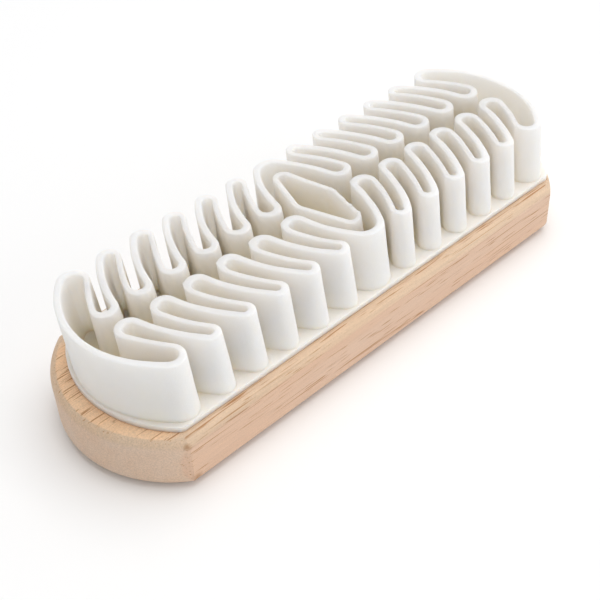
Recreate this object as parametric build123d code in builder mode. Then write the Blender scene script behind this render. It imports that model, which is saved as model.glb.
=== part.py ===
"""Suede brush: a rounded wooden block carrying a moulded crepe rubber head.

The head is a base sheet with a folded wall that runs round it as one closed ring, and a loop in its middle.
Z is up and the block's flat back lies on Z = 0. X runs along the brush and Y across it.
Lengths are in millimetres.
"""
import os
from math import sqrt

from build123d import *

# Wooden block
block_length = 155.0
block_width = 50.0
block_thickness = 14.5
block_end_rise = 13.26
block_top_round = 2.2
block_back_chamfer = 1.75

# Glue film under the rubber
film_thickness = 0.2
film_inset = 0.8

# Base sheet of the rubber head, set in from the block's ends and sides
sheet_end_margin = 3.6
sheet_side_margin = 3.1
sheet_thickness = 1.5
sheet_end_rise = 9.02
sheet_corner_radius = 2.5
sheet_shift = 1.6

# Folded wall: heights, thickness and lean
fold_height = 17.8
wall_thickness = 1.6
bend_thickness = 2.0
foot_spread = 0.5
lip_setback = 1.75
lip_shift = -0.35

# Folded wall: plan of the lips' centre line, given for one quarter of the ring
fold_end_margin = 2.55
fold_side_margin = 2.1
least_fold_pitch = 9.8
first_outer_bend = 10.5
inner_bend_lead = 1.45
corner_bend_lead = 1.1
corner_setback = 10.25
inner_reach = 2.25
middle_bend_radius = 4.5
outer_bend_radius = 1.8
inner_bend_radius = 2.6
corner_bend_radius = 2.9
outgoing_bow_radius = 39.5
returning_bow_radius = 46.8

# Loop standing in the middle: plan of its lip's centre line
loop_length = 27.4
loop_width = 10.4
loop_tip_radius = 2.0
loop_waist_radius = 5.0
loop_thickness = 1.5
loop_shift = -0.8

# Heights and reaches that follow from the sizes above
film_z = block_thickness
sheet_z = film_z + film_thickness
floor_z = sheet_z + sheet_thickness
sheet_length = block_length - 2 * sheet_end_margin
sheet_width = block_width - 2 * sheet_side_margin
end_reach = sheet_length / 2 - fold_end_margin
outer_reach = sheet_width / 2 - fold_side_margin
corner_bend = end_reach - corner_setback
first_inner_bend = first_outer_bend + inner_bend_lead
fold_span = corner_bend - corner_bend_lead - first_outer_bend
folds_after_first = int(fold_span / least_fold_pitch)
fold_pitch = fold_span / folds_after_first


def centre_arc(centre, start, end):
    """Arc of under half a turn round a centre, from one point to another."""
    middle = centre + ((start - centre) + (end - centre)).normalized() * (start - centre).length
    ThreePointArc(start, middle, end)


def rounded_end_outline(length, width, end_rise):
    """Edges of two straight sides and of two end arcs that rise beyond them and meet them at an angle."""
    side_end = length / 2 - end_rise
    with BuildLine() as outline:
        Line((-side_end, -width / 2), (side_end, -width / 2))
        ThreePointArc((side_end, -width / 2), (length / 2, 0), (side_end, width / 2))
        Line((side_end, width / 2), (-side_end, width / 2))
        ThreePointArc((-side_end, width / 2), (-length / 2, 0), (-side_end, -width / 2))
    return outline.edges()


def bow_centre(from_centre, from_reach, to_centre, to_reach):
    """Point at two given distances from two bends, on the side of the brush's middle."""
    step = to_centre - from_centre
    along = (from_reach**2 - to_reach**2 + step.length**2) / (2 * step.length)
    aside = sqrt(from_reach**2 - along**2)
    unit = step.normalized()
    across = Vector(-unit.Y, unit.X)
    meets = [from_centre + unit * along + across * aside, from_centre + unit * along - across * aside]
    return min(meets, key=lambda point: point.X)


def quarter_bends(side, spread):
    """Centres and radii of one quarter's bends on a face of the wall, from the middle to the corner."""
    off_wall = side * (wall_thickness / 2 + spread)
    off_bend = side * (bend_thickness / 2 + spread)
    outer_y = outer_reach + off_bend
    inner_y = inner_reach + off_bend
    middle_radius = middle_bend_radius + off_wall
    outer_radius = outer_bend_radius + off_wall
    inner_radius = inner_bend_radius - off_wall
    corner_radius = corner_bend_radius + off_wall
    bends = [(Vector(0, middle_radius - outer_y), middle_radius)]
    for fold in range(folds_after_first + 1):
        inner_x = first_inner_bend + fold * fold_pitch
        outer_x = first_outer_bend + fold * fold_pitch
        bends.append((Vector(inner_x, -inner_y - inner_radius), inner_radius))
        bends.append((Vector(outer_x, outer_radius - outer_y), outer_radius))
    bends[-1] = (Vector(corner_bend, corner_radius - outer_y), corner_radius)
    return bends


def fold_outline(side, spread):
    """Edges of the folded wall's outward face (side 1) or inward face (side -1) in plan."""
    off_wall = side * (wall_thickness / 2 + spread)
    bow_radii = [outgoing_bow_radius + off_wall, returning_bow_radius - off_wall]
    bends = quarter_bends(side, spread)
    with BuildLine() as outline:
        first_centre, first_radius = bends[0]
        start = first_centre - Vector(0, first_radius)
        for number, ((centre, radius), (next_centre, next_radius)) in enumerate(zip(bends, bends[1:])):
            bow_radius = bow_radii[number % 2]
            bow = bow_centre(centre, bow_radius - radius, next_centre, bow_radius + next_radius)
            leave = centre + (centre - bow).normalized() * radius
            arrive = next_centre - (next_centre - bow).normalized() * next_radius
            if number == 0:
                centre_arc(centre, start, leave)
            else:
                apex_y = -radius if number % 2 == 0 else radius
                ThreePointArc(start, centre + Vector(0, apex_y), leave)
            centre_arc(bow, leave, arrive)
            start = arrive
        # The corner bend runs into the arc that closes the end of the ring
        centre, radius = bends[-1]
        end_x = end_reach + off_wall
        rim = end_x - radius
        arc_x = (rim**2 - centre.X**2 - centre.Y**2) / (2 * (rim - centre.X))
        arc_centre = Vector(arc_x, 0)
        touch = centre + (centre - arc_centre).normalized() * radius
        ThreePointArc(start, centre - Vector(0, radius), touch)
        centre_arc(arc_centre, touch, Vector(end_x, 0))
        mirror(about=Plane.XZ)
        mirror(about=Plane.YZ)
    return outline.edges()


def loop_outline(side, spread):
    """Edges of the middle loop's faces in plan: rounded tips, straight flanks and softly rounded waists."""
    off = side * (loop_thickness / 2 + spread)
    tip_radius = loop_tip_radius + off
    waist_radius = loop_waist_radius + off
    tip = Vector(loop_shift, loop_tip_radius - loop_length / 2)
    waist = Vector(loop_shift + loop_width / 2 - loop_waist_radius, 0)
    step = waist - tip
    along = (tip_radius - waist_radius) / step.length
    unit = step.normalized()
    outward = unit * along + Vector(unit.Y, -unit.X) * sqrt(1 - along**2)
    tip_end = tip + outward * tip_radius
    waist_start = waist + outward * waist_radius
    with BuildLine() as outline:
        centre_arc(tip, tip - Vector(0, tip_radius), tip_end)
        Line(tip_end, waist_start)
        centre_arc(waist, waist_start, waist + Vector(waist_radius, 0))
        mirror(about=Plane.XZ)
        mirror(about=Plane.YZ.offset(loop_shift))
    return outline.edges()


def level_plane(height):
    """Plane at a height over the floor, shifted because the walls lean as they rise."""
    setback = lip_setback * (1 - height / fold_height)
    return Plane((lip_shift + setback, 0, floor_z + height))


# Block with a flat back, rounded over along its top edges and eased along its back ones
with BuildPart() as wooden_block:
    with BuildSketch():
        make_face(rounded_end_outline(block_length, block_width, block_end_rise))
    extrude(amount=block_thickness)
    fillet(wooden_block.faces().sort_by(Axis.Z)[-1].edges(), block_top_round)
    chamfer(wooden_block.faces().sort_by(Axis.Z)[0].edges(), block_back_chamfer)

# Thin glue film, held back from the edge of the sheet
with BuildPart() as glue_film:
    with BuildSketch(Plane((sheet_shift, 0, film_z))) as film_sketch:
        make_face(rounded_end_outline(sheet_length, sheet_width, sheet_end_rise))
        fillet(film_sketch.vertices(), sheet_corner_radius)
        offset(amount=-film_inset, mode=Mode.REPLACE)
    extrude(amount=film_thickness)

# Rubber head: base sheet, folded ring and middle loop in one moulding, the walls thicker at their feet
with BuildPart() as crepe_head:
    with BuildSketch(Plane((sheet_shift, 0, sheet_z))) as sheet_sketch:
        make_face(rounded_end_outline(sheet_length, sheet_width, sheet_end_rise))
        fillet(sheet_sketch.vertices(), sheet_corner_radius)
    extrude(amount=sheet_thickness)
    for outline in (fold_outline, loop_outline):
        for side, mode in ((1, Mode.ADD), (-1, Mode.SUBTRACT)):
            for height, spread in ((0, foot_spread), (fold_height, 0)):
                with BuildSketch(level_plane(height)):
                    make_face(outline(side, spread))
            loft(ruled=True, mode=mode)

wooden_block.part.label = "wooden_block"
glue_film.part.label = "glue_film"
crepe_head.part.label = "crepe_head"

os.makedirs("parts", exist_ok=True)
for piece in (wooden_block, glue_film, crepe_head):
    export_step(piece.part, f"parts/{piece.part.label}.step")
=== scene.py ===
"""Suede brush: the finished look of the wooden block, the glue line and the folded crepe rubber head.

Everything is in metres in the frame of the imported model: X along the brush, Y across it, Z up, and the
block's flat back on Z = 0. Sizes of the brush are written in millimetres and multiplied by MM.
"""
import math

import bpy
import numpy as np
from mathutils import Matrix, Vector, geometry, noise


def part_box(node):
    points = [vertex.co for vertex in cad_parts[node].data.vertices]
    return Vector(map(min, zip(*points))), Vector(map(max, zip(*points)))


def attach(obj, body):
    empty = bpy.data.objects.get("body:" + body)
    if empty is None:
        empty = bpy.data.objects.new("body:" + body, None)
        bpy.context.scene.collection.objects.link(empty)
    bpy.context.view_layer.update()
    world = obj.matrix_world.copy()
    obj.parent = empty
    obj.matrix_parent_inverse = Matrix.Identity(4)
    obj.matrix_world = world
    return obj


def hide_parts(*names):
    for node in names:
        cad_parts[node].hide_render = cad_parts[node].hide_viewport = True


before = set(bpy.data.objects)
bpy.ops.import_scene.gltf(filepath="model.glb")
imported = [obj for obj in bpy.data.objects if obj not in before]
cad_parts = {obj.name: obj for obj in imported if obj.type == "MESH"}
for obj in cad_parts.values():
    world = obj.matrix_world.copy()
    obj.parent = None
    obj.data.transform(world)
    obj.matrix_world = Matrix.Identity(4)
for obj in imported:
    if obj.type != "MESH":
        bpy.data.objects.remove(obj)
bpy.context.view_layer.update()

MM = 0.001

# Heights of the pieces, from the frame, and the rubber sheet's thickness
block_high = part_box("wooden_block")[1]
head_low, head_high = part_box("crepe_head")
SHEET_Z = head_low.z
SHEET_THICKNESS = 1.5 * MM
SHEET_TOP = SHEET_Z + SHEET_THICKNESS
FOLD_HEIGHT = head_high.z - SHEET_TOP

# Base sheet
SHEET_LENGTH = 147.8 * MM
SHEET_WIDTH = 43.8 * MM
SHEET_END_RADIUS = 31.1 * MM
SHEET_CORNER_RADIUS = 2.5 * MM
SHEET_SHIFT = 1.6 * MM
SHEET_EDGE_ROUND = 0.22 * MM

# Folded wall
WALL_THICKNESS = 1.6 * MM
BEND_THICKNESS = 2.0 * MM
FOOT_SPREAD = 0.5 * MM
FOOT_FILLET = 0.2 * MM
LIP_ROUND = 0.38 * MM
LIP_CLOSE_SHARE = 0.5
LIP_SETBACK = 1.75 * MM
LIP_SHIFT = -0.35 * MM
FOLD_PITCH = 9.9 * MM
FOLDS_PER_QUARTER = 6
FIRST_INNER_BEND = 11.95 * MM
FIRST_OUTER_BEND = 10.5 * MM
CORNER_BEND = 61.1 * MM
END_REACH = 71.35 * MM
OUTER_REACH = 19.8 * MM
INNER_REACH = 2.25 * MM
MIDDLE_BEND_RADIUS = 4.5 * MM
OUTER_BEND_RADIUS = 1.8 * MM
INNER_BEND_RADIUS = 2.6 * MM
CORNER_BEND_RADIUS = 2.9 * MM
OUTGOING_BOW_RADIUS = 39.5 * MM
RETURNING_BOW_RADIUS = 46.8 * MM

# Loop in the middle
LOOP_THICKNESS = 1.5 * MM
LOOP_DROP = 0.4 * MM
LOOP_TIP_REACH = 13.6 * MM
LOOP_TIP_RADIUS = 2.0 * MM
LOOP_WAIST_RADIUS = 5.0 * MM
LOOP_WAIST_FRONT = 4.4 * MM
LOOP_WAIST_BACK = 6.0 * MM


def arc(centre, start, end, turn, steps):
    """Points along an arc round a centre; turn is 1 for counter-clockwise and -1 for clockwise."""
    centre, start, end = (np.asarray(point, float) for point in (centre, start, end))
    radius = np.hypot(*(start - centre))
    first = math.atan2(*(start - centre)[::-1])
    last = math.atan2(*(end - centre)[::-1])
    sweep = (last - first) * turn % (2 * math.pi) * turn
    angles = first + np.linspace(0, sweep, steps, endpoint=False)
    return centre + radius * np.c_[np.cos(angles), np.sin(angles)]


def unit(vector):
    return vector / np.hypot(*vector)


def bow_centre(centre, reach, other, other_reach):
    """Point at two given distances from two bends, on the side of the brush's middle."""
    step = other - centre
    span = np.hypot(*step)
    along = (reach**2 - other_reach**2 + span**2) / (2 * span)
    aside = math.sqrt(reach**2 - along**2)
    across = np.array([-step[1], step[0]]) / span
    meets = [centre + step / span * along + across * side for side in (aside, -aside)]
    return min(meets, key=lambda point: point[0])


BEND_STEPS, BOW_STEPS, END_STEPS = 14, 12, 26


def fold_contour(side, spread):
    """Closed plan of the folded wall's outward face (side 1) or inward face (side -1), counter-clockwise."""
    off_wall = side * (WALL_THICKNESS / 2 + spread)
    off_bend = side * (BEND_THICKNESS / 2 + spread)
    outer_y, inner_y = OUTER_REACH + off_bend, INNER_REACH + off_bend
    middle = MIDDLE_BEND_RADIUS + off_wall
    outer, inner = OUTER_BEND_RADIUS + off_wall, INNER_BEND_RADIUS - off_wall
    corner = CORNER_BEND_RADIUS + off_wall
    bows = (OUTGOING_BOW_RADIUS + off_wall, RETURNING_BOW_RADIUS - off_wall)
    bends = [(np.array([0, middle - outer_y]), middle)]
    for fold in range(FOLDS_PER_QUARTER):
        bends.append((np.array([FIRST_INNER_BEND + fold * FOLD_PITCH, -inner_y - inner]), inner))
        bends.append((np.array([FIRST_OUTER_BEND + fold * FOLD_PITCH, outer - outer_y]), outer))
    bends[-1] = (np.array([CORNER_BEND, corner - outer_y]), corner)
    points = []
    start = bends[0][0] - (0, middle)
    for number in range(len(bends) - 1):
        centre, radius = bends[number]
        after, radius_after = bends[number + 1]
        bow_radius = bows[number % 2]
        bow = bow_centre(centre, bow_radius - radius, after, bow_radius + radius_after)
        leave = centre + unit(centre - bow) * radius
        arrive = after - unit(after - bow) * radius_after
        turn = 1 if number % 2 == 0 else -1
        points.append(arc(centre, start, leave, turn, BEND_STEPS))
        points.append(arc(bow, leave, arrive, turn, BOW_STEPS))
        start = arrive
    centre, radius = bends[-1]
    end_x = END_REACH + off_wall
    rim = end_x - radius
    end_centre = np.array([(rim**2 - centre @ centre) / (2 * (rim - centre[0])), 0])
    touch = centre + unit(centre - end_centre) * radius
    points.append(arc(centre, start, touch, 1, BEND_STEPS))
    points.append(arc(end_centre, touch, (end_x, 0), 1, END_STEPS))
    return close_quarters(np.vstack(points), np.array([end_x, 0]))


def close_quarters(quarter, end):
    """Mirrors a quarter, from the middle of the near side to the end point, into a closed ring."""
    near = np.vstack([quarter, end])
    right = np.vstack([near, near[-2::-1] * (1, -1)])
    left = right[::-1] * (-1, 1)
    return np.vstack([right, left[1:-1]])


LOOP_TIP_STEPS, LOOP_FLANK_STEPS, LOOP_WAIST_STEPS = 16, 48, 10


def loop_contour(side, spread):
    """Closed plan of the middle loop's outward or inward face: rounded tips, straight flanks, soft waists."""
    off = side * (LOOP_THICKNESS / 2 + spread)
    tip_radius, waist_radius = LOOP_TIP_RADIUS + off, LOOP_WAIST_RADIUS + off
    tip = np.array([0, LOOP_TIP_RADIUS - LOOP_TIP_REACH])
    halves = []
    for waist in (LOOP_WAIST_FRONT, LOOP_WAIST_BACK):
        waist_centre = np.array([waist - LOOP_WAIST_RADIUS, 0])
        step = waist_centre - tip
        span = np.hypot(*step)
        lean = (tip_radius - waist_radius) / span
        normal = step / span * lean + np.array([step[1], -step[0]]) / span * math.sqrt(1 - lean**2)
        leave, arrive = tip + normal * tip_radius, waist_centre + normal * waist_radius
        flank = np.linspace(leave, arrive, LOOP_FLANK_STEPS, endpoint=False)
        waist_end = waist_centre + (waist_radius, 0)
        quarter = np.vstack([arc(tip, tip - (0, tip_radius), leave, 1, LOOP_TIP_STEPS), flank,
                             arc(waist_centre, arrive, waist_end, 1, LOOP_WAIST_STEPS), waist_end])
        halves.append(np.vstack([quarter, quarter[-2::-1] * (1, -1)]))
    return np.vstack([halves[0], (halves[1][::-1] * (-1, 1))[1:-1]])


# Steps of a wall's face: round its foot, up to its lip and over the lip
FOOT_STEPS, WALL_STEPS, LIP_STEPS = 5, 14, 8


def wall_profile():
    """Rows of one face of a wall, from foot to crown: height over the sheet, spread, share closed in."""
    profile = []
    for angle in np.linspace(0, math.pi / 2, FOOT_STEPS):
        height = FOOT_FILLET * (1 - math.cos(angle))
        flare = FOOT_FILLET * (1 - math.sin(angle))
        profile.append((height, FOOT_SPREAD * (1 - height / FOLD_HEIGHT) + flare, 0))
    for share in np.linspace(0, 1, WALL_STEPS)[1:-1]:
        height = FOOT_FILLET + share * (FOLD_HEIGHT - LIP_ROUND - FOOT_FILLET)
        profile.append((height, FOOT_SPREAD * (1 - height / FOLD_HEIGHT), 0))
    for angle in np.linspace(0, math.pi / 2, LIP_STEPS):
        height = FOLD_HEIGHT - LIP_ROUND * (1 - math.sin(angle))
        profile.append((height, 0, LIP_CLOSE_SHARE * (1 - math.cos(angle))))
    return profile


# Unevenness of the hand-trimmed rubber: the walls' sway, their faces' swelling and their lips' dips
SWAY, SWAY_SCALE, SWAY_RISE_SHARE = 0.22 * MM, 13 * MM, 0.3
SWELL, SWELL_SCALE, SWELL_RISE_SHARE = 0.07 * MM, 4 * MM, 0.6
SWELL_FULL_SHARE = 0.125
DIP, DIP_SCALE, DIP_POWER = 0.22 * MM, 6 * MM, 8

# Seed of the sway's noise, which would differ from run to run without it
SWAY_SEED = 7
noise.seed_set(SWAY_SEED)

# Places where the moulding strays from its even plan: middle, reach and shift in millimetres, and how much
# of the shift the foot takes
STRAYS = (((-42, 13), (30, 13), (0.4, 0.7), 0.0),
          ((-33, 0), (18, 6), (0.1, 0.6), 0.0),
          ((-11, -4), (5, 5), (0.7, 0.2), 0.0),
          ((0, -4), (9, 16), (0.1, 0.55), 0.0),
          ((24, -3), (14, 4.5), (0.5, 0.35), 0.0),
          ((-60, -18), (5, 8), (0.5, -0.5), 0.0),
          ((42, 19), (30, 8), (-0.45, 0.5), 0.0),
          ((66, 14), (14, 12), (0.9, 0.9), 0.0),
          ((74, -6), (12, 12), (0.7, -0.2), 0.8),
          ((-74, 0), (8, 19), (-0.04, 0.0), 10.0))

# Place, in millimetres, where the folds are wider than their even plan
WIDER_AT, WIDER_REACH, WIDER = (-42, 14), (30, 9), 0.4 * MM

# Small nubs on the lip at the near inner bends, in millimetres from each bend
NUB_FROM_BEND = (-2.45, -2.3)
NUB_BENDS = (-41.65, -31.75, -21.85, -11.95, 11.95, 21.85, 31.75, 41.65)
NUB_REACH, NUB_DEPTH, NUB_SIZE = 0.45, 1.0 * MM, 0.36 * MM


def nearness(x, y, middle, reach):
    """One at a place in plan, falling to nought over its reach."""
    across, along = (x / MM - middle[0]) / reach[0], (y / MM - middle[1]) / reach[1]
    return math.exp(-across**2 - along**2)


def nub(x, y):
    """One at the middle of each nub on the lip, falling to nought round it."""
    middles = [(bend + NUB_FROM_BEND[0], NUB_FROM_BEND[1]) for bend in NUB_BENDS]
    return max(nearness(x, y, middle, (NUB_REACH, NUB_REACH)) for middle in middles)


def uneven(vertices, normals, side):
    """Shifts the walls where they stray, sways them towards their lips, swells them and lets the lips dip."""
    moved = vertices.copy()
    for index, (x, y, z) in enumerate(vertices):
        rise = min(max(z - SHEET_TOP, 0) / FOLD_HEIGHT, 1)
        sway = noise.noise_vector(Vector((x, y, z * SWAY_RISE_SHARE)) / SWAY_SCALE)
        shift = np.array(sway)[:2] * SWAY * rise
        for middle, reach, stray, foot in STRAYS:
            near = nearness(x, y, middle, reach) * (foot + (1 - foot) * rise)
            shift += np.array(stray) * MM * near
        swell = noise.noise(Vector((x, y, z * SWELL_RISE_SHARE)) / SWELL_SCALE) * SWELL
        swell *= min(rise / SWELL_FULL_SHARE, 1)
        wider = WIDER * nearness(x, y, WIDER_AT, WIDER_REACH) * rise
        lip = max(0, 1 - (head_high.z - z) / NUB_DEPTH)
        if lip and side < 0:
            swell += NUB_SIZE * lip * nub(x, y)
        dip = DIP * rise**DIP_POWER * (0.5 + 0.5 * noise.noise(Vector((x, y, 0)) / DIP_SCALE))
        moved[index] += (*(shift + normals[index] * (swell * side + wider)), -dip)
    return moved


def plan_normals(plan):
    """Outward normals in plan of a counter-clockwise contour."""
    tangent = np.roll(plan, -1, axis=0) - np.roll(plan, 1, axis=0)
    normal = np.c_[tangent[:, 1], -tangent[:, 0]]
    return normal / np.linalg.norm(normal, axis=1, keepdims=True)


def standing_wall(contour, drop=0, fin=None):
    """Rings of a wall's vertices: outward face up from its foot, over the crown and down the inward face."""
    profile = wall_profile()
    rows = [(*row, 1) for row in profile] + [(*row, -1) for row in reversed(profile)]
    rings = []
    for height, spread, close, side in rows:
        face, other = contour(side, spread), contour(-side, spread)
        closing = np.full(len(face), float(close))
        level = np.full(len(face), SHEET_TOP + height * (1 - drop / FOLD_HEIGHT))
        if fin:
            share, ragged = fin
            near_lip = max(0, 1 - (FOLD_HEIGHT - height) / FIN_DEPTH)
            if side == 1:
                closing = closing * (1 - FIN_THIN_SHARE * share)
            else:
                closing = closing + near_lip * FIN_LEAN_SHARE * share
            level += ragged * near_lip
        plan = face + (other - face) / 2 * closing[:, None]
        shift = LIP_SHIFT + LIP_SETBACK * (1 - height / FOLD_HEIGHT)
        ring = np.c_[plan[:, 0] + shift, plan[:, 1], level]
        ring = uneven(ring, plan_normals(plan), side * (1 - close))
        ring[:, 2] = np.minimum(ring[:, 2], head_high.z)
        rings.append(ring)
    return rings


# Thin torn fin that the loop's right lip runs out into
FIN_START_SHARE, FIN_END_SHARE = 0.015, 0.262
FIN_DEPTH = 2.0 * MM
FIN_THIN_SHARE, FIN_LEAN_SHARE = 0.8, 0.85
FIN_FADE = 9

# The fin's torn edge: share of its length where each step starts, and the step's rise in millimetres
FIN_EDGE = ((0.0, 0.1), (0.13, 0.4), (0.17, 0.05), (0.33, 0.38),
            (0.37, 0.0), (0.5, 0.2), (0.72, 0.42), (0.76, 0.12))


def torn_fin():
    """How far the loop's lip has thinned into a fin, and how much the fin's torn edge rises or falls."""
    plan = loop_contour(1, 0)
    places = np.arange(len(plan)) / len(plan)
    along = np.clip((places - FIN_START_SHARE) / (FIN_END_SHARE - FIN_START_SHARE), 0, 1)
    share = np.clip(np.minimum(along, 1 - along) * FIN_FADE, 0, 1)
    starts, rises = zip(*FIN_EDGE)
    edge = np.array(rises)[np.searchsorted(starts, along, side="right") - 1] * MM
    return share, share * edge


# Steps along the sheet's edge and over it, and how ragged the edge is
SHEET_STEP = 0.6 * MM
SHEET_EDGE_STEPS = 5
SHEET_ROW_SHARE = 0.45
RAGGED, RAGGED_SCALE, RAGGED_RISE_SHARE = 0.1 * MM, 2.2 * MM, 1.5


def sheet_outline():
    """Plan of the base sheet's edge, counter-clockwise: straight sides, small corners and arc-shaped ends."""
    radius = SHEET_CORNER_RADIUS
    end_centre = SHEET_LENGTH / 2 - SHEET_END_RADIUS
    side_end = end_centre + math.sqrt((SHEET_END_RADIUS - radius)**2 - (SHEET_WIDTH / 2 - radius)**2)
    corner = np.array([side_end, radius - SHEET_WIDTH / 2])
    touch = corner + unit(corner - (end_centre, 0)) * radius
    side_start, side_stop = (0, -SHEET_WIDTH / 2), (side_end, -SHEET_WIDTH / 2)
    side_steps, corner_steps = int(side_end / SHEET_STEP), int(radius * 2 / SHEET_STEP)
    end_steps = int(SHEET_WIDTH / 2 / SHEET_STEP)
    quarter = np.vstack([np.linspace(side_start, side_stop, side_steps, endpoint=False),
                         arc(corner, side_stop, touch, 1, corner_steps),
                         arc((end_centre, 0), touch, (SHEET_LENGTH / 2, 0), 1, end_steps)])
    return close_quarters(quarter, np.array([SHEET_LENGTH / 2, 0])) + (SHEET_SHIFT, 0)


def base_sheet():
    """Rings of the base sheet's slightly ragged, softened edge, from its underside to its top."""
    rows = [(0, 0.0), (SHEET_THICKNESS * SHEET_ROW_SHARE, 0.0)]
    for angle in np.linspace(0, math.pi / 2, SHEET_EDGE_STEPS):
        rise = SHEET_EDGE_ROUND * (1 - math.sin(angle))
        rows.append((SHEET_THICKNESS - rise, SHEET_EDGE_ROUND * (1 - math.cos(angle))))
    edge = sheet_outline()
    outward = plan_normals(edge)
    rings = []
    for height, inset in rows:
        upward = height * RAGGED_RISE_SHARE
        ragged = [0.5 + 0.5 * noise.noise(Vector((x, y, upward)) / RAGGED_SCALE) for x, y in edge]
        plan = edge - outward * (inset + RAGGED * np.array(ragged))[:, None]
        rings.append(np.c_[plan, np.full(len(plan), SHEET_Z + height)])
    return rings


def is_open_sheet(points, rings):
    """Whether each point lies inside an odd number of the rings: on the sheet and under no wall."""
    inside = np.zeros(len(points), bool)
    for ring in rings:
        for (x, y), (next_x, next_y) in zip(ring, np.roll(ring, -1, axis=0)):
            if y != next_y:
                spans = (points[:, 1] < y) != (points[:, 1] < next_y)
                cross = x + (points[:, 1] - y) * (next_x - x) / (next_y - y)
                inside ^= spans & (points[:, 0] < cross)
    return inside


def sheet_top_faces(rings, firsts):
    """Triangles that join the sheet's top edge and the walls' feet, all on the sheet's top."""
    plans = [ring[:, :2] / MM for ring in rings]
    edges, numbers, start = [], [], 0
    for plan, first in zip(plans, firsts):
        count = len(plan)
        edges += [(start + i, start + (i + 1) % count) for i in range(count)]
        numbers += list(range(first, first + count))
        start += count
    points = [Vector(point) for point in np.vstack(plans)]
    made, _, triangles, sources, _, _ = geometry.delaunay_2d_cdt(points, edges, [], 0, 1e-6)
    middles = np.array([sum((made[i] for i in face), Vector((0, 0))) / 3 for face in triangles])
    keep = is_open_sheet(middles, plans)
    return [tuple(numbers[sources[i][0]] for i in face)
            for face, kept in zip(triangles, keep) if kept and all(sources[i] for i in face)]


def crepe_skin():
    """Vertices and faces of the base sheet, the folded ring and the middle loop, as one closed skin."""
    sheet, fold = base_sheet(), standing_wall(fold_contour)
    loop = standing_wall(loop_contour, LOOP_DROP, torn_fin())
    vertices, faces, top_rings, firsts = [], [], [], []
    total = 0
    for rings, feet in ((sheet, (-1,)), (fold, (0, -1)), (loop, (0, -1))):
        count = len(rings[0])
        for row in range(len(rings) - 1):
            base = total + row * count
            for i in range(count):
                j = (i + 1) % count
                faces.append((base + i, base + j, base + count + j, base + count + i))
        for foot in feet:
            top_rings.append(rings[foot])
            firsts.append(total + (foot % len(rings)) * count)
        vertices += rings
        total += len(rings) * count
    faces.append(tuple(reversed(range(len(sheet[0])))))
    faces += sheet_top_faces(top_rings, firsts)
    return np.vstack(vertices), faces


def crepe_head():
    """The finished rubber head, in place of the plain solid."""
    vertices, faces = crepe_skin()
    mesh = bpy.data.meshes.new("crepe_folds")
    mesh.from_pydata(vertices.tolist(), [], faces)
    mesh.validate()
    mesh.shade_smooth()
    mesh.materials.append(crepe_rubber())
    head = bpy.data.objects.new("crepe_folds", mesh)
    bpy.context.collection.objects.link(head)
    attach(head, "root")
    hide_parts("crepe_head")


class Nodes:
    """Short names for making the shader nodes of a material or world and for joining them."""

    def __init__(self, owner):
        owner.use_nodes = True
        self.owner = owner
        self.tree = owner.node_tree

    def add(self, kind, inputs=None, **settings):
        node = self.tree.nodes.new(kind)
        for key, value in settings.items():
            setattr(node, key, value)
        for key, value in (inputs or {}).items():
            self.feed(node, key, value)
        return node

    def feed(self, node, key, value):
        socket = node.inputs[key]
        if isinstance(value, bpy.types.NodeSocket):
            self.tree.links.new(value, socket)
        else:
            socket.default_value = value

    def mix(self, factor, first, second, blend="MIX"):
        node = self.add("ShaderNodeMix", data_type="RGBA", blend_type=blend)
        for index, value in ((0, factor), (6, first), (7, second)):
            self.feed(node, index, value)
        return node.outputs[2]

    def ramp(self, value, *stops):
        node = self.add("ShaderNodeValToRGB", {0: value})
        elements = node.color_ramp.elements
        for element, (place, level) in zip(elements, stops):
            element.position = place
            element.color = (level, level, level, 1)
        return node.outputs[0]

    def map_range(self, value, low, high, levels=(0.0, 1.0), **settings):
        inputs = {0: value, 1: low, 2: high, 3: levels[0], 4: levels[1]}
        return self.add("ShaderNodeMapRange", inputs, **settings).outputs[0]

    def noise(self, vector, scale, detail=3.0, roughness=0.5):
        inputs = {"Vector": vector, "Scale": scale, "Detail": detail, "Roughness": roughness}
        return self.add("ShaderNodeTexNoise", inputs).outputs["Fac"]

    def grain(self, vector, along, across, detail=1.0, roughness=0.5):
        stretched = self.add("ShaderNodeMapping", {"Vector": vector, "Scale": (along, across, across)})
        return self.noise(stretched.outputs[0], 1.0, detail, roughness)

    def maths(self, operation, first, second=0.0):
        return self.add("ShaderNodeMath", {0: first, 1: second}, operation=operation).outputs[0]

    def parts(self, vector):
        return self.add("ShaderNodeSeparateXYZ", {0: vector}).outputs

    def bump(self, height, strength, distance):
        inputs = {"Height": height, "Strength": strength, "Distance": distance}
        return self.add("ShaderNodeBump", inputs)


def new_material(name):
    """Nodes of a new material, with its main shader as shader."""
    n = Nodes(bpy.data.materials.new(name))
    n.shader = n.tree.nodes["Principled BSDF"]
    return n


# Crepe rubber's mottling, the painted warm shade between its folds and the darker, warmer tint near its sheet
RUBBER_COLOURS = ((0.965, 0.900, 0.838, 1), (0.985, 0.926, 0.873, 1))
# Colour of the painted warm shade between the folds
PAINTED_SLOT_SHADE_COLOUR = (0.995, 0.89, 0.68, 1)
# Darker, warmer tint near the sheet's top
NEAR_SHEET_TINT = (0.965, 0.945, 0.92, 1)

# How far light travels in the sheet and in the walls that stand clear of it
SHEET_GLOW, WALL_GLOW = 2.8 * MM, 10.0 * MM
GLOW_RISE = 5 * MM
GLOW_BY_COLOUR = (1.0, 0.9, 0.76)

# Where the painted warm shade lies, standing in for light bounced between the folds: between them and down
# towards the sheet
SLOT_SHADE_OUT, SLOT_SHADE_IN = 19.0 * MM, 12.0 * MM
SLOT_SHADE_END, SLOT_SHADE_BLUR = 69 * MM, 5 * MM
SLOT_SHADE_LOW = 3 * MM

# Height over the sheet's top up to which the rubber is tinted darker and warmer
NEAR_SHEET_RISE = 1 * MM


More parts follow.
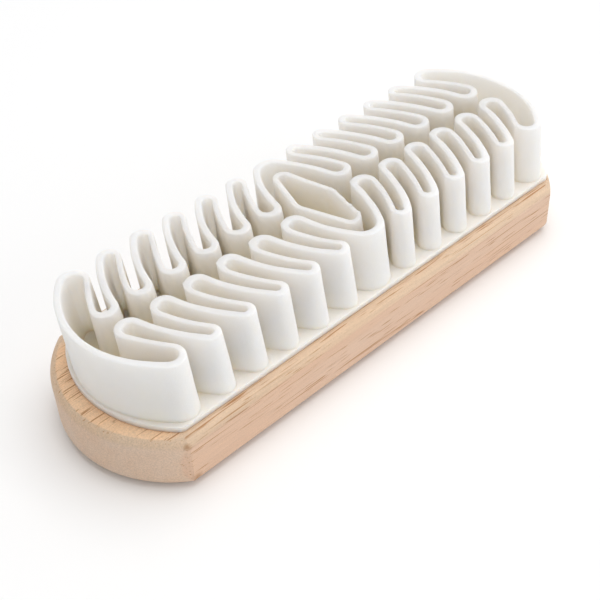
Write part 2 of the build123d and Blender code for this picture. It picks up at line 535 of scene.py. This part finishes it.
def painted_slot_shade_share(n, xyz):
    """Share of the painted warm shade: how far a place lies in between the folds and down towards the sheet,
    clear of the brush's ends.
    """
    inward = n.map_range(n.maths("ABSOLUTE", xyz["Y"]), SLOT_SHADE_OUT, SLOT_SHADE_IN)
    low = n.map_range(xyz["Z"], head_high.z, SHEET_TOP + SLOT_SHADE_LOW)
    within = n.map_range(n.maths("ABSOLUTE", xyz["X"]), SLOT_SHADE_END, SLOT_SHADE_END - SLOT_SHADE_BLUR)
    return n.maths("MULTIPLY", within, n.maths("MULTIPLY", inward, low))


def crepe_rubber():
    """Matte ivory crepe rubber: faint warm mottling, painted warm shade between the folds, a darker, warmer
    tint near the sheet, fine skin texture, light passing a little into it.
    """
    n = new_material("crepe_rubber")
    place = n.add("ShaderNodeTexCoord").outputs["Object"]
    xyz = n.parts(place)
    mottle = n.ramp(n.noise(place, 90.0), (0.35, 0.0), (0.7, 1.0))
    colour = n.mix(mottle, *RUBBER_COLOURS)
    # Painted warm shade between the folds and low down in them
    colour = n.mix(painted_slot_shade_share(n, xyz), colour, PAINTED_SLOT_SHADE_COLOUR)
    # Darker and warmer towards the sheet's top
    near_sheet_share = n.map_range(xyz["Z"], SHEET_TOP + NEAR_SHEET_RISE, SHEET_TOP)
    n.feed(n.shader, "Base Color", n.mix(near_sheet_share, colour, NEAR_SHEET_TINT, "MULTIPLY"))
    n.feed(n.shader, "Roughness", 0.75)
    n.feed(n.shader, "Specular IOR Level", 0.12)
    n.feed(n.shader, "Subsurface Weight", 1.0)
    n.feed(n.shader, "Subsurface Radius", GLOW_BY_COLOUR)
    glow = n.map_range(xyz["Z"], SHEET_TOP, SHEET_TOP + GLOW_RISE, (SHEET_GLOW, WALL_GLOW))
    n.feed(n.shader, "Subsurface Scale", glow)
    fine = n.bump(n.noise(place, 2400.0, 4.0, 0.6), 0.5, 0.1 * MM)
    wide = n.bump(n.noise(place, 260.0), 0.3, 0.4 * MM)
    n.feed(wide, "Normal", fine.outputs[0])
    n.feed(n.shader, "Normal", wide.outputs[0])
    return n.owner


# Beech colours by the way the wood is cut; the top's colour is its own yellower tone, painted lighter as well
# to stand in for light that the rubber's shade keeps off it
TOP_COLOUR_WITH_PAINTED_LIGHT = (0.99, 0.70, 0.46, 1)
ROUND_COLOUR = (0.79, 0.60, 0.435, 1)
SIDE_COLOUR = (0.81, 0.583, 0.438, 1)
END_COLOUR = (0.83, 0.635, 0.49, 1)
BAND_TINT = (1.0, 0.94, 0.88, 1)
PORE_COLOUR = (0.46, 0.23, 0.10, 1)
KNOT_COLOUR = (0.42, 0.22, 0.10, 1)

# Places and sizes of the knots, in millimetres
KNOTS = ((-64.6, -24.4, 13.0, 1.3), (-63.4, -24.9, 2.6, 1.7), (-72.0, -8.0, 14.3, 0.6))

# The side's colour laps round each corner of the block, furthest at mid-height
CORNER_X = 63.3 * MM
CORNER_LAP = 2.7 * MM
CORNER_BLUR = 0.7 * MM

# The narrow strips of the top beside the sheet have the colour of its rounded edges
STRIP_FROM, STRIP_BLUR = 22.2 * MM, 2.5 * MM


def corner_share(n, xyz):
    """Nought on the block's long sides and one past its corners, on the curved ends."""
    half = block_high.z / 2
    height = n.maths("DIVIDE", n.maths("SUBTRACT", xyz["Z"], half), half)
    lap = n.maths("MULTIPLY", n.maths("SUBTRACT", 1.0, n.maths("MULTIPLY", height, height)), CORNER_LAP)
    past = n.maths("SUBTRACT", n.maths("SUBTRACT", n.maths("ABSOLUTE", xyz["X"]), CORNER_X), lap)
    return n.map_range(past, 0.0, CORNER_BLUR)


def beech_ground(n, place, xyz, upward, ends):
    """The wood's colour by the way it is cut, with the top painted lighter, with its soft bands, fibres and
    fine speckle.
    """
    colour = n.mix(ends, SIDE_COLOUR, END_COLOUR)
    colour = n.mix(n.ramp(upward, (0.05, 0.0), (0.5, 1.0)), colour, ROUND_COLOUR)
    # The top: the wood's yellower tone, painted lighter to stand in for light
    open_top = n.map_range(n.maths("ABSOLUTE", xyz["Y"]), STRIP_FROM, STRIP_FROM - STRIP_BLUR)
    top = n.maths("MULTIPLY", n.ramp(upward, (0.93, 0.0), (0.985, 1.0)), open_top)
    colour = n.mix(top, colour, TOP_COLOUR_WITH_PAINTED_LIGHT)
    bands = n.ramp(n.grain(place, 9.0, 170.0, 3.0), (0.32, 0.0), (0.68, 1.0))
    colour = n.mix(bands, colour, BAND_TINT, "MULTIPLY")
    fibres = n.ramp(n.grain(place, 60.0, 2600.0, 3.0, 0.65), (0.3, 0.87), (0.66, 1.0))
    colour = n.mix(0.85, colour, fibres, "MULTIPLY")
    speckle = n.ramp(n.noise(place, 2600.0, 2.0, 0.7), (0.32, 0.82), (0.64, 1.0))
    return n.mix(n.maths("ADD", n.maths("MULTIPLY", ends, 0.4), 0.55), colour, speckle, "MULTIPLY")


def beech_pores(n, colour, place, upward, ends):
    """Thin dark pores along the fibres, on the top and the long sides but not on the ends' cut fibres."""
    top = n.ramp(upward, (0.9, 0.0), (0.99, 1.0))
    cut_fibres = n.maths("MULTIPLY", ends, n.ramp(upward, (0.6, 1.0), (0.9, 0.0)))
    sides = n.maths("SUBTRACT", 1.0, cut_fibres)
    for where, along, across, start, end, depth in ((top, 95.0, 1500.0, 0.62, 0.70, 0.95),
                                                    (sides, 110.0, 2500.0, 0.65, 0.72, 0.9),
                                                    (sides, 28.0, 2300.0, 0.67, 0.74, 0.9)):
        pores = n.ramp(n.grain(place, along, across), (start, 0.0), (end, depth))
        colour = n.mix(n.maths("MULTIPLY", pores, where), colour, PORE_COLOUR)
    return colour


def beech_knots(n, colour, place):
    """Small dark knots with ragged rims."""
    ragged = n.grain(place, 500.0, 1500.0, 3.0)
    for x, y, z, size in KNOTS:
        away = n.add("ShaderNodeVectorMath", {0: place, 1: (x * MM, y * MM, z * MM)}, operation="DISTANCE")
        share = n.maths("ADD", n.maths("DIVIDE", away.outputs["Value"], size * MM), ragged)
        knot = n.ramp(n.maths("DIVIDE", share, 2.0), (0.3, 0.75), (0.72, 0.0))
        colour = n.mix(knot, colour, KNOT_COLOUR)
    return colour


def beech():
    """Pale beech with its fibres along X."""
    n = new_material("beech")
    texture = n.add("ShaderNodeTexCoord")
    place = texture.outputs["Object"]
    xyz = n.parts(place)
    upward = n.parts(texture.outputs["Normal"])["Z"]
    ends = corner_share(n, xyz)
    colour = beech_ground(n, place, xyz, upward, ends)
    colour = beech_pores(n, colour, place, upward, ends)
    n.feed(n.shader, "Base Color", beech_knots(n, colour, place))
    n.feed(n.shader, "Roughness", 0.6)
    n.feed(n.shader, "Specular IOR Level", 0.25)
    bump = n.bump(n.grain(place, 120.0, 2600.0, 3.0), 0.35, 0.12 * MM)
    n.feed(n.shader, "Normal", bump.outputs[0])
    return n.owner


def contact_glue():
    """Dried amber contact cement."""
    n = new_material("contact_glue")
    place = n.add("ShaderNodeTexCoord").outputs["Object"]
    patches = n.ramp(n.noise(place, 300.0), (0.4, 0.0), (0.6, 1.0))
    n.feed(n.shader, "Base Color", n.mix(patches, (0.16, 0.085, 0.035, 1), (0.32, 0.19, 0.09, 1)))
    n.feed(n.shader, "Roughness", 0.35)
    return n.owner


def paint_node(name, material):
    """Gives a node of the frame its finished material in every slot."""
    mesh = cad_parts[name].data
    if not mesh.materials:
        mesh.materials.append(material)
    for index in range(len(mesh.materials)):
        mesh.materials[index] = material


# Rounding that the wooden block's chamfered and crisp edges get
EDGE_ROUND, EDGE_STEPS = 1.15 * MM, 5
ROUND_FROM_ANGLE = math.radians(40)
FLAT_ANGLE = math.radians(1)
WELD_GAP = 0.01 * MM


def wooden_block():
    """The block in beech, with its back edges worn round; its flat faces are joined up before that."""
    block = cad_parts["wooden_block"]
    weld = block.modifiers.new("joined_faces", "WELD")
    weld.merge_threshold = WELD_GAP
    plain = block.modifiers.new("plain_faces", "DECIMATE")
    plain.decimate_type = "DISSOLVE"
    plain.angle_limit = FLAT_ANGLE
    bevel = block.modifiers.new("worn_edges", "BEVEL")
    bevel.width = EDGE_ROUND
    bevel.segments = EDGE_STEPS
    bevel.limit_method = "ANGLE"
    bevel.angle_limit = ROUND_FROM_ANGLE
    bevel.use_clamp_overlap = False
    bevel.harden_normals = True
    paint_node("wooden_block", beech())


# Camera, from a fit to the photograph
FOCAL_PIXELS = 1129.0
FRAME_PIXELS = 600
SENSOR_MM = 36.0
NEAREST_SEEN = 10 * MM
CAMERA_PLACE = Vector((-154.45, -163.21, 199.10)) * MM
CAMERA_FORWARD = Vector((0.50028195, 0.55596459, -0.66379315))
CAMERA_RIGHT = Vector((0.72068813, -0.69228894, -0.03666936))


def camera():
    """Camera at the photograph's place and angle."""
    data = bpy.data.cameras.new("camera")
    data.sensor_width = SENSOR_MM
    data.lens = FOCAL_PIXELS / FRAME_PIXELS * SENSOR_MM
    data.clip_start = NEAREST_SEEN
    item = bpy.data.objects.new("camera", data)
    bpy.context.collection.objects.link(item)
    back = -CAMERA_FORWARD.normalized()
    right = (CAMERA_RIGHT - back * CAMERA_RIGHT.dot(back)).normalized()
    up = back.cross(right)
    turn = Matrix((right, up, back)).transposed()
    item.matrix_world = Matrix.Translation(CAMERA_PLACE) @ turn.to_4x4()
    bpy.context.scene.camera = item


# Lamps, in metres and watts: name, place, size and power
LAMP_AIM = Vector((0, 0, 0.02))
LAMPS = (("key", (0.15, 0.0, 0.98), (0.8, 0.8), 5.3),
         ("near", (0.3, -0.9, 0.4), (0.8, 0.6), 1.6))


def area_light(name, place, size, power):
    """Soft rectangular lamp aimed at the brush."""
    data = bpy.data.lights.new(name, "AREA")
    data.shape = "RECTANGLE"
    data.size, data.size_y = size
    data.energy = power
    item = bpy.data.objects.new(name, data)
    bpy.context.collection.objects.link(item)
    item.location = place
    item.rotation_euler = (LAMP_AIM - Vector(place)).to_track_quat("-Z", "Y").to_euler()


WHITE = (1, 1, 1, 1)

# Strength of the light from all round, from the brush's left end to its right one
WORLD_STRENGTHS = (0.39, 0.79)


def surroundings():
    """Soft light from all round, and plain white for the camera, in reflections and through clear pieces."""
    world = bpy.data.worlds.new("studio")
    bpy.context.scene.world = world
    n = Nodes(world)
    light = n.tree.nodes["Background"]
    toward = n.parts(n.add("ShaderNodeTexCoord").outputs["Generated"])["X"]
    n.feed(light, "Color", WHITE)
    n.feed(light, "Strength", n.map_range(toward, -1.0, 1.0, WORLD_STRENGTHS))
    white = n.add("ShaderNodeBackground", {"Color": WHITE, "Strength": 1.0})
    path = n.add("ShaderNodeLightPath").outputs
    direct = n.maths("MAXIMUM", path["Is Camera Ray"], path["Is Transmission Ray"])
    seen = n.maths("MAXIMUM", direct, path["Is Glossy Ray"])
    both = n.add("ShaderNodeMixShader", {0: seen, 1: light.outputs[0], 2: white.outputs[0]})
    n.feed(n.tree.nodes["World Output"], "Surface", both.outputs[0])


# Floor: how far it reaches, how far below the block it lies, and where it fades to white
FLOOR_REACH = 3.0
FLOOR_DROP = -0.5 * MM
FADE_START, FADE_END = 0.12, 0.34


def pale_floor():
    """Pale matte floor that keeps the shadow near the brush and is white to the camera further off."""
    n = new_material("pale_floor")
    n.feed(n.shader, "Base Color", (0.95, 0.95, 0.95, 1))
    n.feed(n.shader, "Roughness", 0.9)
    n.feed(n.shader, "Specular IOR Level", 0.1)
    place = n.add("ShaderNodeTexCoord").outputs["Object"]
    away = n.add("ShaderNodeVectorMath", {0: place}, operation="LENGTH").outputs["Value"]
    fade = n.map_range(away, FADE_START, FADE_END, interpolation_type="SMOOTHSTEP")
    seen = n.maths("MULTIPLY", fade, n.add("ShaderNodeLightPath").outputs["Is Camera Ray"])
    white = n.add("ShaderNodeEmission", {"Color": WHITE, "Strength": 1.0})
    both = n.add("ShaderNodeMixShader", {0: seen, 1: n.shader.outputs[0], 2: white.outputs[0]})
    n.feed(n.tree.nodes["Material Output"], "Surface", both.outputs[0])
    return n.owner


def floor():
    """Flat floor just under the brush."""
    signs = ((-1, -1), (1, -1), (1, 1), (-1, 1))
    corners = [(x * FLOOR_REACH, y * FLOOR_REACH, FLOOR_DROP) for x, y in signs]
    mesh = bpy.data.meshes.new("floor")
    mesh.from_pydata(corners, [], [(0, 1, 2, 3)])
    mesh.materials.append(pale_floor())
    item = bpy.data.objects.new("floor", mesh)
    bpy.context.collection.objects.link(item)


def studio():
    """Surroundings, floor and lamps, with colours shown as they are."""
    bpy.context.scene.view_settings.view_transform = "Standard"
    surroundings()
    floor()
    for name, place, size, power in LAMPS:
        area_light(name, place, size, power)


crepe_head()
wooden_block()
paint_node("glue_film", contact_glue())
camera()
studio()
